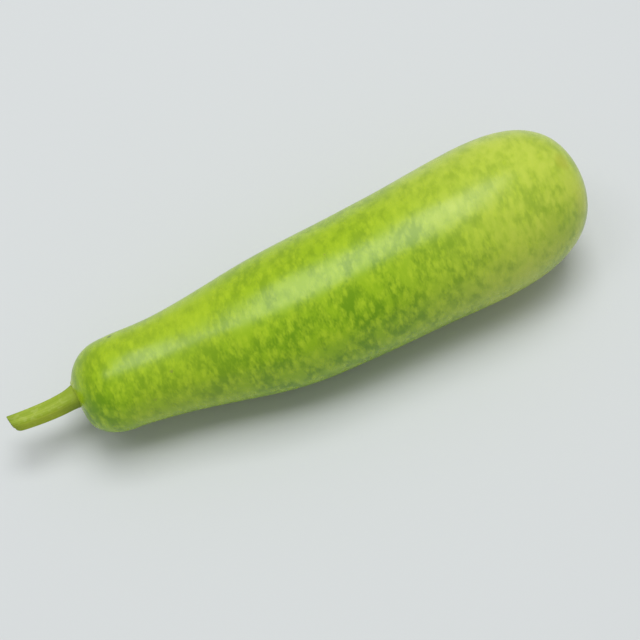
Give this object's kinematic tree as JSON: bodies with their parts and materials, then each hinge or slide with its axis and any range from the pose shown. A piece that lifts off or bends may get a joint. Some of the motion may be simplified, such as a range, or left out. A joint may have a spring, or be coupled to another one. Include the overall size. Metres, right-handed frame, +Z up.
{
  "type": "bottle gourd",
  "caption": "Whole bottle gourd as picked, club-shaped and slightly curved, with its cut stalk, lying on its side on a small belly flat.",
  "frame": {"origin": "on the resting plane, under the middle of the whole gourd's box", "axes": "+X along the gourd from the stalk to the blossom end, +Z up from the resting plane, +Y to its left seen from the stalk"},
  "size_m": [0.39, 0.1006, 0.0994],
  "materials": {
    "skin": "satin",
    "stalk": "matte"
  },
  "bodies": {
    "root": {"fruit": "skin", "stalk": "stalk"}
  },
  "joints": []
}
